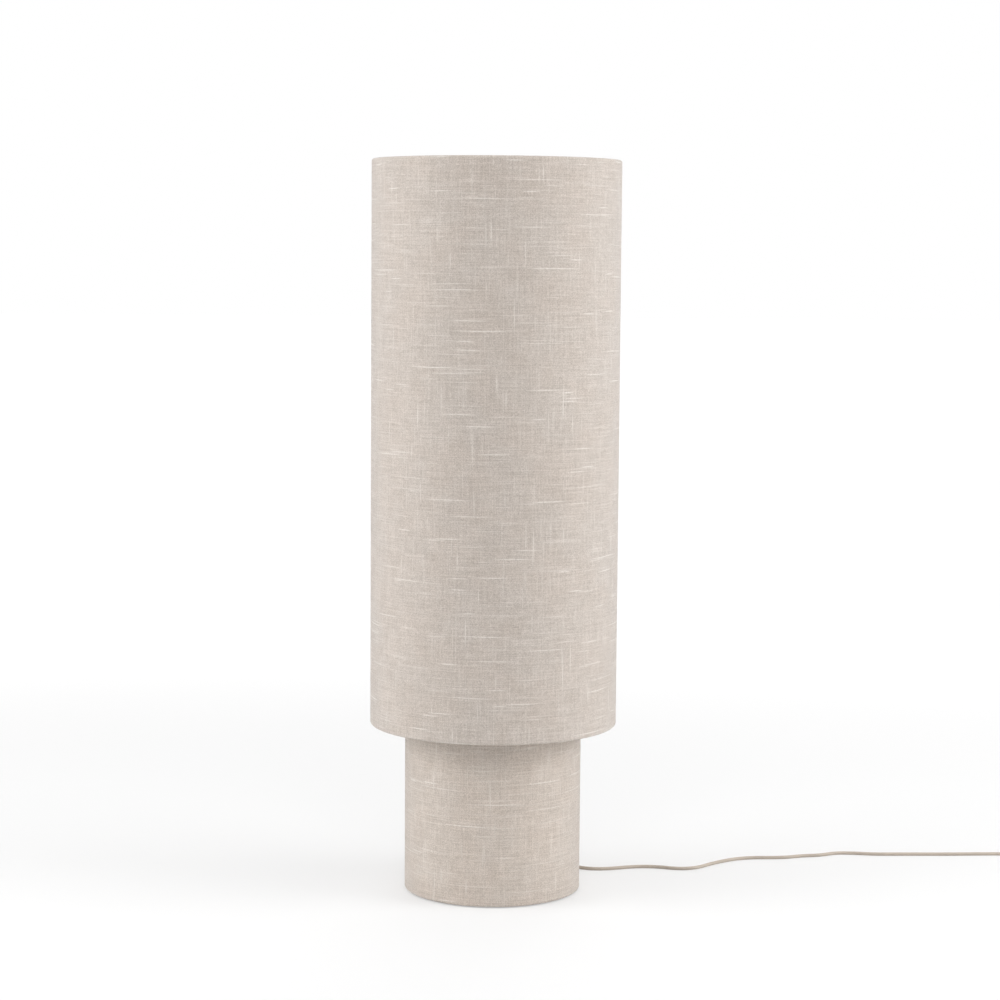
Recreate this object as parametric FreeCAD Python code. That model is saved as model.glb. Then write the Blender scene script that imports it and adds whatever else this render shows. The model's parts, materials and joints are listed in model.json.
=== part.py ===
import FreeCAD
import Part
import math
import os

from FreeCAD import Vector

# Column floor lamp. Millimetres, +Z up. The origin is on the floor, on the axis of the column.
# Two linen-covered cylinders stand on one column: a drum on the floor and a taller, wider shade
# above it. The cord leaves the drum at the back, +Y, and lies on the floor towards +X.

UP = Vector(0, 0, 1)
BACK = Vector(0, 1, 0)
RIGHT = Vector(1, 0, 0)

# ---------------------------------------------------------------- driving dimensions
# Outside of the lamp
lamp_height = 1000.0
shade_diameter = 338.0
shade_height = 769.0
drum_diameter = 242.0
drum_height = 290.0
drum_lift = 1.5

# Linen, liner and ring wire, the same on both cylinders
cloth = 1.0
liner_wall = 0.6
glue_gap = 0.1
ring_wire = 3.4
roll_gap = 0.5
spoke_wire = 4.0
slit_gap = 0.4
spoke_count = 3

# Spider hubs
hub_drop = 24.0
hub_thickness = 2.5
hub_margin = 6.0
weld_depth = 1.5
turning_gap = 0.35

# Threaded nipples and what is made to fit them
thread_radius = 5.0
thread_wall = 1.4
thread_gap = 0.05

# Column
spigot_wall = 1.4
spigot_gap = 0.05
spigot_length = 18.0
pole_wall = 1.5
foot_flange_width = 7.0
foot_flange = 6.0
seat_flange_width = 10.0
seat_flange = 6.0
seat_thread = 14.0
drum_nut_wall = 4.0
drum_nut_height = 6.5
top_flange_width = 4.0
top_flange = 8.0
finial_radius = 11.0
finial_height = 14.0
finial_cap = 3.0
finial_foot_bevel = 1.0
finial_top_bevel = 3.0
finial_flutes = 24
flute_radius = 0.9
flute_margin = 1.0
nipple_spare = 1.0

# Base
pad_radius = 11.0
pad_height = 2.0
pad_inset = 26.0
pad_count = 4
plate_thickness = 12.0
plate_gap = 0.6
plate_chamfer = 2.0
recess_margin = 3.0
recess_depth = 8.0
washer_width = 6.0
washer_thickness = 1.5
base_nut_wall = 3.5
base_nut_height = 5.0

# Arms and lampholders
low_arm_height = 400.0
high_arm_height = 700.0
arm_reach = 46.0
arm_thickness = 3.0
arm_root_width = 6.0
arm_tip_width = 7.0
arm_hole_gap = 0.3
collar_wall = 5.0
collar_height = 8.0
grub_radius = 2.0
arm_nut_wall = 2.0
arm_nut_height = 4.0
nipple_below = 9.0
nipple_above = 8.0

holder_neck_width = 4.0
holder_room = 2.8
holder_wall = 2.2
holder_neck = 8.0
holder_cone = 10.0
holder_rim = 6.0
holder_shoulder = 4.0
holder_shell_height = 36.0
holder_lip = 6.0
holder_bead = 1.0
lip_gap = 0.3
insert_height = 10.0
insert_floor = 2.0
insert_gap = 0.1
screw_shell_radius = 14.0
screw_shell_wall = 0.4
screw_shell_height = 26.0
contact_radius = 3.5
contact_height = 1.5

# Bulbs
bulb_radius = 30.0
bulb_length = 110.0
bulb_tip_radius = 4.5
bulb_tip = 1.7
bulb_insulator = 2.5
bulb_insulator_inset = 2.0
bulb_cap_height = 24.0
bulb_cap_gap = 0.5
bulb_thread_depth = 0.9
bulb_thread_pitch = 3.6
bulb_thread_root = 0.5
bulb_thread_turns = 5
bulb_neck_step = 0.1
bulb_dome_drop = 8.0
bulb_flare = 0.3
glass_wall = 1.2
seat_gap = 0.3

# Leads inside the lamp
lead_radius = 1.6
lead_gap = 0.2
lead_bend = 7.0
lead_straight = 10.0
inlet_gap = 1.1
outlet_gap = 1.4
outlet_drop = 22.0
inlet_rise = 6.0
block_width = 28.0
block_depth = 32.0
block_height = 18.0
block_inset = 46.0
block_outlet = 10.0
block_screw_inset = 6.0
clip_inset = 16.0
clip_width = 10.0
clip_span = 26.0
clip_thickness = 3.0
clip_edge = 0.5
screw_radius = 1.5
screw_depth = 6.0
screw_head_radius = 3.0
screw_head = 2.0
screw_gap = 0.1
screw_end_gap = 0.5

# Cord, strain relief and gland nut
cord_diameter = 4.8
cord_gap = 0.1
cord_rise = 1.6
relief_length = 36.0
relief_flange_width = 3.0
relief_flange = 2.2
relief_seat = 0.4
relief_neck_radius = 5.0
relief_root_wall = 2.1
relief_tip_wall = 0.8
relief_inside = 7.0
wall_hole_gap = 0.3
gland_nut_wall = 2.5
gland_nut_height = 3.8

# Foot switch
switch_x = 815.0
switch_start = 125.0
switch_length = 74.0
switch_width = 44.0
switch_base_height = 9.0
switch_cover_height = 12.0
switch_wall = 2.2
switch_flat = 8.0
switch_edge = 3.5
switch_axis = 7.0
sleeve_length = 20.0
sleeve_root_wall = 1.9
sleeve_neck_wall = 1.1
sleeve_tip_wall = 0.7
sleeve_seat = 0.1
sleeve_collar = 2.0
button_radius = 15.0
button_gap = 0.5
button_flange = 2.0
button_flange_height = 2.0
button_rise = 5.0
button_travel = 3.0
button_edge = 2.0
plunger_radius = 4.0
contact_block_length = 36.0
contact_block_width = 20.0
contact_block_height = 6.0
terminal_radius = 2.5
terminal_height = 1.5
terminal_inset = 6.0
switch_screw_across = 11.0
switch_screw_along = 26.0
switch_screw_length = 13.0
switch_post_radius = 4.0

# Coil of the cord's unseen length
coil_distance = 43.0
coil_outer_radius = 36.8
coil_gap = 0.55
coil_half_turns = 6

# Plug, lying flat
plug_distance = 86.0
plug_width = 35.3
plug_thickness = 13.7
plug_length = 36.0
plug_front = 14.0
plug_rear_width = 15.0
plug_edge = 1.6
plug_boot_length = 26.0
plug_boot_root_wall = 2.5
plug_boot_tip_wall = 0.8
plug_cord_depth = 6.0
pin_radius = 2.0
pin_shank_radius = 1.5
pin_length = 19.0
pin_spacing = 18.6
pin_depth = 8.0
pin_gap = 0.05

# ---------------------------------------------------------------- sizes that follow
shade_radius = shade_diameter / 2
drum_radius = drum_diameter / 2
shade_bottom = lamp_height - shade_height
drum_top = drum_lift + drum_height
roll = ring_wire / 2 + roll_gap + cloth
shade_hub_bottom = lamp_height - roll - hub_drop
shade_hub_top = shade_hub_bottom + hub_thickness
drum_hub_bottom = drum_top - roll - hub_drop

thread_hole = thread_radius + thread_gap
thread_bore = thread_radius - thread_wall
spigot_radius = thread_hole + spigot_wall
pole_bore = spigot_radius + spigot_gap
pole_radius = pole_bore + pole_wall
foot_flange_radius = pole_radius + foot_flange_width
seat_flange_radius = pole_radius + seat_flange_width
top_flange_radius = pole_radius + top_flange_width
drum_hub_radius = seat_flange_radius + hub_margin
shade_hub_radius = top_flange_radius + hub_margin
plate_top = pad_height + plate_thickness
recess_top = pad_height + recess_depth
washer_bottom = recess_top - washer_thickness
base_nut_bottom = washer_bottom - base_nut_height
plate_radius = drum_radius - 2 * roll - plate_gap
lower_pole_bottom = plate_top + foot_flange
seat_bottom = drum_hub_bottom - seat_flange
upper_pole_bottom = drum_hub_bottom + seat_thread
upper_pole_top = shade_hub_bottom - top_flange

arms = {"low": (low_arm_height, 1), "high": (high_arm_height, -1)}
holder_inner = screw_shell_radius + holder_room
holder_radius = holder_inner + holder_wall
holder_cap_top = holder_neck + holder_cone + holder_rim
insert_bottom = holder_cap_top - holder_shoulder
insert_top = insert_bottom + insert_height

cord_radius = cord_diameter / 2
cord_hole = cord_radius + cord_gap
exit_height = plate_top + cord_radius + cord_rise
relief_end = drum_radius + relief_length
lead_spread = lead_radius + lead_gap
inlet_height = lower_pole_bottom + spigot_length + inlet_rise
block_middle = plate_radius - block_inset
clip_place = plate_radius - clip_inset

switch_middle = switch_start - switch_length / 2
switch_end = switch_start - switch_length
switch_top = switch_base_height + switch_cover_height
switch_roof = switch_top - switch_wall
near_end = switch_start + sleeve_length
far_start = switch_end - sleeve_length
coil_pitch = cord_diameter + coil_gap
coil_x = switch_x + coil_outer_radius
coil_y = far_start - coil_distance
coil_end_height = cord_radius + coil_pitch
plug_x = coil_x + coil_outer_radius
plug_y = coil_y + plug_distance
plug_axis = plug_thickness / 2
plug_rear = plug_y + plug_boot_length
plug_face = plug_rear + plug_length

# The cord's route, as the corners of its straight runs. It leaves the strain relief at the back,
# drops to the floor, comes round the drum and wanders to the foot switch.
lay = cord_radius
near_route = [
    (0, relief_end, exit_height),
    (0, 174, exit_height),
    (9, 196, 11),
    (33, 210, lay),
    (64, 203, lay),
    (84, 171, lay),
    (103, 119, lay),
    (147, 88, lay),
    (219, 118, lay),
    (281, 92, lay),
    (325, 142, lay),
    (367, 170, lay),
    (423, 170, lay),
    (452, 183, lay),
    (480, 187, lay),
    (504, 203, lay),
    (535, 201, lay),
    (560, 196, lay),
    (604, 198, lay),
    (665, 199, lay),
    (722, 203, lay),
    (764, 204, lay),
    (792, 200, lay),
    (810, 182, lay),
    (switch_x, near_end + 17, 4.5),
    (switch_x, near_end + 9, switch_axis),
    (switch_x, near_end, switch_axis),
]
middle_route = [
    (switch_x, far_start, switch_axis),
    (switch_x, far_start - 10, switch_axis),
    (switch_x, far_start - 22, 3.6),
    (switch_x, far_start - 32, lay),
    (switch_x, coil_y + cord_diameter, lay),
]
tail_route = [
    (plug_x, coil_y + cord_diameter, coil_end_height),
    (plug_x, coil_y + 14, coil_end_height),
    (plug_x + 1, coil_y + 30, 3.6),
    (plug_x + 2, coil_y + 48, lay),
    (plug_x + 1, coil_y + 64, 4.0),
    (plug_x, plug_y - 10, plug_axis),
    (plug_x, plug_y, plug_axis),
]


# ---------------------------------------------------------------- shape helpers
def line(start, end):
    return Part.LineSegment(start, end).toShape()


def arc_through(start, middle, end):
    return Part.Arc(start, middle, end).toShape()


def arc_in_corner(start, corner, end):
    """The arc from start to end that is tangent to both legs of the corner, which are equally long."""
    chord_middle = (start + end) * 0.5
    leg = (start - corner).Length
    half_chord = (end - start).Length / 2
    radius = half_chord * leg / (chord_middle - corner).Length
    inward = (chord_middle - corner).normalize()
    middle = corner + inward * (math.hypot(radius, leg) - radius)
    return arc_through(start, middle, end), radius


def turned(outline, centre=Vector(0, 0, 0)):
    """A solid of revolution about a vertical axis, from its outline of (radius, height) points."""
    points = [Vector(radius, 0, height) for radius, height in outline]
    face = Part.Face(Part.makePolygon(points + points[:1]))
    solid = face.revolve(Vector(0, 0, 0), UP, 360)
    solid.translate(centre)
    return solid


def upright(radius, bottom, top, x=0.0, y=0.0):
    return Part.makeCylinder(radius, top - bottom, Vector(x, y, bottom), UP)


def pipe(radius, bore, bottom, top, x=0.0, y=0.0):
    return upright(radius, bottom, top, x, y).cut(upright(bore, bottom, top, x, y))


def block(length_x, length_y, height, centre_x, centre_y, bottom):
    corner = Vector(centre_x - length_x / 2, centre_y - length_y / 2, bottom)
    return Part.makeBox(length_x, length_y, height, corner)


def hexagon(flats, bottom, top, x=0.0, y=0.0):
    corners = []
    for angle in range(0, 361, 60):
        corner = Vector(flats / math.sqrt(3), 0, bottom)
        corner = FreeCAD.Rotation(UP, angle).multVec(corner)
        corners.append(corner + Vector(x, y, 0))
    return Part.Face(Part.makePolygon(corners)).extrude(Vector(0, 0, top - bottom))


def around(count, make):
    """One shape for each of count equal steps round the column."""
    return [make(360.0 * k / count) for k in range(count)]


def about_axis(shape, angle):
    turned_shape = shape.copy()
    turned_shape.rotate(Vector(0, 0, 0), UP, angle)
    return turned_shape


def level(radius, start, end, x, height):
    """A cylinder that lies along Y between two places, given in either order."""
    return Part.makeCylinder(radius, abs(end - start), Vector(x, min(start, end), height), BACK)


def tapered(root_radius, tip_radius, root, tip, x, height):
    """A cone that lies along Y, pointing either way."""
    way = BACK if tip > root else -BACK
    return Part.makeCone(root_radius, tip_radius, abs(tip - root), Vector(x, root, height), way)


def export(name, *solids):
    shape = solids[0] if len(solids) == 1 else Part.Compound(list(solids))
    shape.exportStep(os.path.join("parts", name + ".step"))


# ---------------------------------------------------------------- cords
def rounded_path(points, largest_radius=None):
    """Straight runs joined by tangent arcs, each as large as 0.45 of its shorter run allows."""
    corners = [Vector(*point) for point in points]
    edges = []
    radii = []
    last = corners[0]
    for before, corner, after in zip(corners, corners[1:], corners[2:]):
        back = before - corner
        ahead = after - corner
        half_turn = (math.pi - back.getAngle(ahead)) / 2
        trim = 0.45 * min(back.Length, ahead.Length)
        if largest_radius is not None:
            trim = min(trim, largest_radius * math.tan(half_turn))
        start = corner + back.normalize() * trim
        end = corner + ahead.normalize() * trim
        bend, radius = arc_in_corner(start, corner, end)
        edges += [line(last, start), bend]
        radii.append(radius)
        last = end
    edges.append(line(last, corners[-1]))
    return Part.Wire(edges), radii


def swept(path, start, heading, radius):
    ring = Part.Wire(Part.makeCircle(radius, start, heading))
    return path.makePipeShell([ring], True, False)


def tube(points, radius, largest_radius=None):
    path, radii = rounded_path(points, largest_radius)
    start = Vector(*points[0])
    solid = swept(path, start, Vector(*points[1]) - start, radius)
    return solid, path, radii


def print_volume(name, path, solid):
    share = solid.Volume / (math.pi * cord_radius**2 * path.Length)
    print(name, "length", round(path.Length, 1), "volume over section times length", round(share, 4))


def free_cord(name, points):
    """A free stretch of cord. Prints its length, volume and bend radii."""
    solid, path, radii = tube(points, cord_radius)
    print_volume(name, path, solid)
    print(name, "bend radii", [round(radius) for radius in radii], "least", round(min(radii), 1))
    export(name, solid)
    return path.Length


def half_turn_arcs(start, heading, end):
    """Two quarter-turn arcs that leave start along heading and reach end against it."""
    reach = (end - start).Length / 2
    first_corner = start + heading * reach
    second_corner = end + heading * reach
    middle = (first_corner + second_corner) * 0.5
    return [arc_in_corner(start, first_corner, middle)[0], arc_in_corner(middle, second_corner, end)[0]]


def coil_path():
    """Spirals in on the floor, climbs a layer in the half turn where it reverses, and spirals out."""
    point = Vector(coil_x - coil_outer_radius, coil_y, cord_radius)
    stub = BACK * cord_diameter
    edges = [line(point + stub, point)]
    for count in range(2 * coil_half_turns + 1):
        steps_in = min(count, 2 * coil_half_turns - count)
        radius = coil_outer_radius - steps_in * coil_pitch / 2
        way = 1 if count % 2 == 0 else -1
        climb = coil_pitch if count == coil_half_turns else 0.0
        end = point + Vector(2 * way * radius, 0, climb)
        edges += half_turn_arcs(point, BACK * -way, end)
        point = end
    edges.append(line(point, point + stub))
    return Part.Wire(edges)


def least_gap(path, spacing):
    """The least clear distance between turns, from points along the path."""
    points = path.discretize(Distance=spacing)
    apart = int(math.pi * (coil_outer_radius - coil_half_turns * coil_pitch / 2) / spacing)
    nearest = min(
        (points[i] - points[j]).Length for i in range(len(points)) for j in range(i + apart, len(points))
    )
    return nearest - cord_diameter


def cord_coil():
    path = coil_path()
    start = Vector(coil_x - coil_outer_radius, coil_y + cord_diameter, cord_radius)
    solid = swept(path, start, -BACK, cord_radius)
    print_volume("cord_coil", path, solid)
    print("cord_coil least gap to itself", round(least_gap(path, 1.5), 2))
    export("cord_coil", solid)
    return path.Length


# ---------------------------------------------------------------- linen cylinders
def rolled_cover(radius, bottom, top):
    """Linen wall whose edges are rolled three quarters round the ring wires."""
    low = bottom + roll
    high = top - roll
    wire_radius = radius - roll
    inside = roll - cloth

    def rim(angle, reach, height):
        across = reach * math.cos(math.radians(angle))
        along = reach * math.sin(math.radians(angle))
        return Vector(wire_radius + across, 0, height + along)

    def quarters(angles, reach, height):
        arcs = []
        for first, last in zip(angles, angles[1:]):
            ends = [rim(angle, reach, height) for angle in (first, (first + last) / 2, last)]
            arcs.append(arc_through(*ends))
        return arcs

    edges = [line(rim(0, roll, low), rim(0, roll, high))]
    edges += quarters([0, 90, 180, 270], roll, high)
    edges.append(line(rim(270, roll, high), rim(270, inside, high)))
    edges += quarters([270, 180, 90, 0], inside, high)
    edges.append(line(rim(0, inside, high), rim(0, inside, low)))
    edges += quarters([0, -90, -180, -270], inside, low)
    edges.append(line(rim(-270, inside, low), rim(-270, roll, low)))
    edges += quarters([-270, -180, -90, 0], roll, low)
    return Part.Face(Part.Wire(edges)).revolve(Vector(0, 0, 0), UP, 360)


def liner(radius, bottom, top):
    outside = radius - cloth - glue_gap
    edge = roll + ring_wire / 2 + roll_gap
    return pipe(outside, outside - liner_wall, bottom + edge, top - edge)


def wire_ring(radius, height):
    return Part.makeTorus(radius - roll, ring_wire / 2, Vector(0, 0, height), UP)


def spoke_line(radius, top, hub_radius):
    start = Vector(radius - roll, 0, top - roll)
    end = Vector(hub_radius - weld_depth, 0, top - roll - hub_drop + hub_thickness / 2)
    return start, end


def spokes(radius, top, hub_radius, thickness):
    start, end = spoke_line(radius, top, hub_radius)
    spoke = Part.makeCylinder(thickness / 2, (end - start).Length, start, end - start)
    return around(spoke_count, lambda angle: about_axis(spoke, angle + 90))


def spider(radius, top, hub_radius, bore):
    """Ring, sloping spokes and hub, welded into one piece."""
    hub_bottom = top - roll - hub_drop
    hub = pipe(hub_radius, bore, hub_bottom, hub_bottom + hub_thickness)
    ring = wire_ring(radius, top - roll)
    return ring.fuse(spokes(radius, top, hub_radius, spoke_wire) + [hub])


def slit(cover, radius, top, hub_radius):
    """Cuts the slits through which the spokes pass the rolled edge."""
    start, end = spoke_line(radius, top, hub_radius)
    reach = 2 * roll + slit_gap
    width = spoke_wire / 2 + slit_gap
    cutter = Part.makeCylinder(width, reach, start, end - start)
    return cover.cut(around(spoke_count, lambda angle: about_axis(cutter, angle + 90)))


def wall_hole():
    """The hole at the back of the drum for the strain relief's neck."""
    radius = relief_neck_radius + wall_hole_gap
    return level(radius, drum_radius - 3 * roll, drum_radius + roll, 0, exit_height)


def shade():
    cover = rolled_cover(shade_radius, shade_bottom, lamp_height)
    export("shade_cover", slit(cover, shade_radius, lamp_height, shade_hub_radius))
    export("shade_liner", liner(shade_radius, shade_bottom, lamp_height))
    export("shade_bottom_ring", wire_ring(shade_radius, shade_bottom + roll))
    bore = thread_radius + turning_gap
    export("shade_spider", spider(shade_radius, lamp_height, shade_hub_radius, bore))


def drum():
    cover = rolled_cover(drum_radius, drum_lift, drum_top)
    cover = slit(cover, drum_radius, drum_top, drum_hub_radius)
    export("drum_cover", cover.cut(wall_hole()))
    export("drum_liner", liner(drum_radius, drum_lift, drum_top).cut(wall_hole()))
    export("drum_bottom_ring", wire_ring(drum_radius, drum_lift + roll))
    bore = pole_radius + turning_gap
    export("drum_spider", spider(drum_radius, drum_top, drum_hub_radius, bore))


# ---------------------------------------------------------------- base
def threaded_tube(bottom, top, x=0.0):
    return pipe(thread_radius, thread_bore, bottom, top, x)


def nut(wall, hole, bottom, height, x=0.0):
    body = hexagon(2 * (hole + wall), bottom, bottom + height, x)
    return body.cut(upright(hole, bottom, bottom + height, x))


def screw(x, y, seat, length, head_way=UP):
    """A pan-head screw whose head sits at the height seat."""
    place = Vector(x, y, seat)
    shank = Part.makeCylinder(screw_radius, length, place, -head_way)
    head = Part.makeCylinder(screw_head_radius, screw_head, place, head_way)
    return shank.fuse(head)


def block_screw_places():
    reach = block_depth / 2 - block_screw_inset
    return [(0.0, block_middle - reach), (0.0, block_middle + reach)]


def clip_screw_places():
    reach = clip_span / 2 - screw_head_radius - clip_edge
    return [(-reach, clip_place), (reach, clip_place)]


def base():
    pad = upright(pad_radius, 0, pad_height, plate_radius - pad_inset)
    export("foot_pads", *around(pad_count, lambda angle: about_axis(pad, angle + 45)))

    plate = turned(
        [
            (0, pad_height),
            (plate_radius, pad_height),
            (plate_radius, plate_top - plate_chamfer),
            (plate_radius - plate_chamfer, plate_top),
            (0, plate_top),
        ]
    )
    washer_radius = thread_hole + washer_width
    cuts = [
        upright(washer_radius + recess_margin, pad_height, recess_top),
        upright(thread_hole, pad_height, plate_top),
    ]
    for x, y in block_screw_places() + clip_screw_places():
        cuts.append(upright(screw_radius + screw_gap, plate_top - screw_depth, plate_top, x, y))
    export("base_plate", plate.cut(cuts))

    export("base_washer", pipe(washer_radius, thread_hole, washer_bottom, recess_top))
    export("base_nut", nut(base_nut_wall, thread_hole, base_nut_bottom, base_nut_height))


# ---------------------------------------------------------------- column
def column():
    spigot_top = lower_pole_bottom + spigot_length
    export(
        "foot_collar",
        turned(
            [
                (thread_hole, plate_top),
                (foot_flange_radius, plate_top),
                (foot_flange_radius, lower_pole_bottom),
                (spigot_radius, lower_pole_bottom),
                (spigot_radius, spigot_top),
                (thread_hole, spigot_top),
            ]
        ),
    )

    lower_pole = pipe(pole_radius, pole_bore, lower_pole_bottom, seat_bottom)
    inlet_radius = lead_spread + lead_radius + inlet_gap
    inlet = Part.makeCylinder(inlet_radius, pole_radius + 1, Vector(0, 0, inlet_height), BACK)
    export("lower_pole", lower_pole.cut(inlet))

    seat_bore = spigot_radius - spigot_wall
    export(
        "drum_seat",
        turned(
            [
                (seat_bore, seat_bottom - spigot_length),
                (spigot_radius, seat_bottom - spigot_length),
                (spigot_radius, seat_bottom),
                (seat_flange_radius, seat_bottom),
                (seat_flange_radius, drum_hub_bottom),
                (pole_radius, drum_hub_bottom),
                (pole_radius, upper_pole_bottom),
                (spigot_radius, upper_pole_bottom),
                (spigot_radius, upper_pole_bottom + spigot_length),
                (seat_bore, upper_pole_bottom + spigot_length),
            ]
        ),
    )
    nut_bottom = drum_hub_bottom + hub_thickness
    export("drum_nut", nut(drum_nut_wall, pole_radius + thread_gap, nut_bottom, drum_nut_height))

    upper_pole = pipe(pole_radius, pole_bore, upper_pole_bottom, upper_pole_top)
    for height, side in arms.values():
        start = Vector(0, 0, height - outlet_drop)
        outlet = Part.makeCylinder(lead_radius + outlet_gap, pole_radius + 1, start, RIGHT * side)
        upper_pole = upper_pole.cut(outlet)
    export("upper_pole", upper_pole)

    export(
        "top_collar",
        turned(
            [
                (thread_hole, upper_pole_top - spigot_length),
                (spigot_radius, upper_pole_top - spigot_length),
                (spigot_radius, upper_pole_top),
                (top_flange_radius, upper_pole_top),
                (top_flange_radius, shade_hub_bottom),
                (thread_hole, shade_hub_bottom),
            ]
        ),
    )


def threaded_nipples():
    """Under the column, over it, and through each arm."""
    top = shade_hub_top + finial_height - finial_cap - nipple_spare
    tubes = [
        threaded_tube(base_nut_bottom, lower_pole_bottom + spigot_length / 2),
        threaded_tube(upper_pole_top - spigot_length / 2, top),
    ]
    for height, side in arms.values():
        top = height + arm_thickness + nipple_above
        tubes.append(threaded_tube(height - nipple_below, top, side * arm_reach))
    export("threaded_nipples", *tubes)


def finial():
    """Knurled nut with a blind bore, on the shade's hub."""
    bottom = shade_hub_top
    top = bottom + finial_height
    body = turned(
        [
            (0, bottom),
            (finial_radius - finial_foot_bevel, bottom),
            (finial_radius, bottom + finial_foot_bevel),
            (finial_radius, top - finial_top_bevel),
            (finial_radius - finial_top_bevel, top),
            (0, top),
        ]
    )
    flute_bottom = bottom + finial_foot_bevel + flute_margin
    flute_top = top - finial_top_bevel - flute_margin
    flute = upright(flute_radius, flute_bottom, flute_top, finial_radius + flute_radius / 2)
    flutes = around(finial_flutes, lambda angle: about_axis(flute, angle))
    bore = upright(thread_radius + turning_gap, bottom, top - finial_cap)
    export("finial", body.cut(flutes + [bore]))


# ---------------------------------------------------------------- arms and lampholders
def arm(height, side):
    """A flat strip from the pole to the lampholder, round at both ends."""
    top = height + arm_thickness
    reach = side * arm_reach
    tip_radius = thread_hole + arm_tip_width
    root = upright(pole_radius + arm_root_width, height, top)
    tip = upright(tip_radius, height, top, reach)
    strip = block(arm_reach, 2 * tip_radius, arm_thickness, reach / 2, 0, height)
    holes = [upright(pole_radius + arm_hole_gap, height, top), upright(thread_hole, height, top, reach)]
    return root.fuse([tip, strip]).cut(holes).removeSplitter()


def collar(bottom):
    """A set collar on the pole, and its grub screw, which comes from the front."""
    hole = pole_radius + thread_gap
    outside = hole + collar_wall
    middle = Vector(0, 0, bottom + collar_height / 2)
    ring = pipe(outside, hole, bottom, bottom + collar_height)
    ring = ring.cut(Part.makeCylinder(grub_radius + thread_gap, outside + 1, middle, -BACK))
    grub = Part.makeCylinder(grub_radius, collar_wall - thread_gap, middle - BACK * hole, -BACK)
    return ring, grub


def arm_hardware():
    """Collars, grub screws and nuts for both arms."""
    collars = []
    grubs = []
    nuts = []
    for height, side in arms.values():
        top = height + arm_thickness
        reach = side * arm_reach
        for bottom in (height - collar_height, top):
            ring, grub = collar(bottom)
            collars.append(ring)
            grubs.append(grub)
        nuts.append(nut(arm_nut_wall, thread_hole, height - arm_nut_height, arm_nut_height, reach))
    export("arm_collars", *collars)
    export("grub_screws", *grubs)
    export("arm_nuts", *nuts)


def lampholder(name, centre):
    """Cap, shell, and screw shell with centre contact, upwards from the arm."""
    cone_top = holder_neck + holder_cone
    cap = turned(
        [
            (thread_hole, 0),
            (thread_hole + holder_neck_width, 0),
            (thread_hole + holder_neck_width, holder_neck),
            (holder_radius, cone_top),
            (holder_radius, holder_cap_top),
            (holder_inner, holder_cap_top),
            (holder_inner, insert_bottom),
            (holder_inner - 2 * holder_wall, insert_bottom),
            (thread_hole, holder_neck + holder_wall),
        ],
        centre,
    )
    export("holder_cap_" + name, cap)

    shell_top = holder_cap_top + holder_shell_height
    lip_bottom = shell_top - holder_lip
    mouth = screw_shell_radius + lip_gap
    shell = turned(
        [
            (holder_inner, holder_cap_top),
            (holder_radius, holder_cap_top),
            (holder_radius, lip_bottom),
            (holder_radius + holder_bead, lip_bottom + holder_bead),
            (holder_radius + holder_bead, shell_top - holder_bead),
            (holder_radius, shell_top),
            (mouth, shell_top),
            (mouth, lip_bottom),
            (holder_inner, lip_bottom),
        ],
        centre,
    )
    export("holder_shell_" + name, shell)

    shell_bore = screw_shell_radius - screw_shell_wall
    screw_shell = pipe(screw_shell_radius, shell_bore, insert_top, insert_top + screw_shell_height)
    screw_shell.translate(centre)
    contact = upright(contact_radius, insert_top, insert_top + contact_height)
    contact.translate(centre)
    export("holder_contacts_" + name, screw_shell, contact)


def holder_insert(centre):
    """The ceramic block that carries the contacts, bored from below for the lead."""
    body = upright(holder_inner - insert_gap, insert_bottom, insert_top)
    body = body.cut(upright(contact_radius, insert_bottom, insert_top - insert_floor))
    body.translate(centre)
    return body


def bulb(name, tip):
    """Screw cap with its tip, tapering body and frosted dome, just above the centre contact."""
    cap_radius = screw_shell_radius - screw_shell_wall - bulb_cap_gap
    core_radius = cap_radius - bulb_thread_depth
    insulator_radius = core_radius - bulb_insulator_inset
    cap_bottom = bulb_tip + bulb_insulator
    cap_top = bulb_tip + bulb_cap_height
    outline = [(0, 0), (bulb_tip_radius, 0), (bulb_tip_radius, bulb_tip), (insulator_radius, cap_bottom)]
    for ridge in range(bulb_thread_turns):
        root = cap_bottom + ridge * bulb_thread_pitch + bulb_thread_root
        outline.append((core_radius, root))
        outline.append((cap_radius, root + (bulb_thread_pitch - bulb_thread_root) / 2))
    outline.append((core_radius, cap_bottom + bulb_thread_turns * bulb_thread_pitch))
    outline.append((core_radius, cap_top))
    outline.append((0, cap_top))
    export("bulb_cap_" + name, turned(outline, tip))

    neck_radius = cap_radius - bulb_neck_step
    dome_middle = bulb_length - bulb_radius
    rim_height = dome_middle - bulb_dome_drop
    rim_radius = math.sqrt(bulb_radius**2 - bulb_dome_drop**2)
    neck = Vector(neck_radius, 0, cap_top)
    rim = Vector(rim_radius, 0, rim_height)
    hollow_radius = neck_radius + bulb_flare * (rim_radius - neck_radius)
    hollow = Vector(hollow_radius, 0, (cap_top + rim_height) / 2)
    edges = [
        line(Vector(0, 0, cap_top), neck),
        arc_through(neck, hollow, rim),
        line(rim, Vector(0, 0, rim_height)),
        line(Vector(0, 0, rim_height), Vector(0, 0, cap_top)),
    ]
    body = Part.Face(Part.Wire(edges)).revolve(Vector(0, 0, 0), UP, 360)
    body.translate(tip)
    export("bulb_body_" + name, body)

    centre = Vector(0, 0, dome_middle)
    ball = Part.makeSphere(bulb_radius, centre).cut(Part.makeSphere(bulb_radius - glass_wall, centre))
    dome = ball.common(upright(bulb_radius + 1, rim_height, bulb_length + 1))
    dome.translate(tip)
    export("bulb_dome_" + name, dome)


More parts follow.
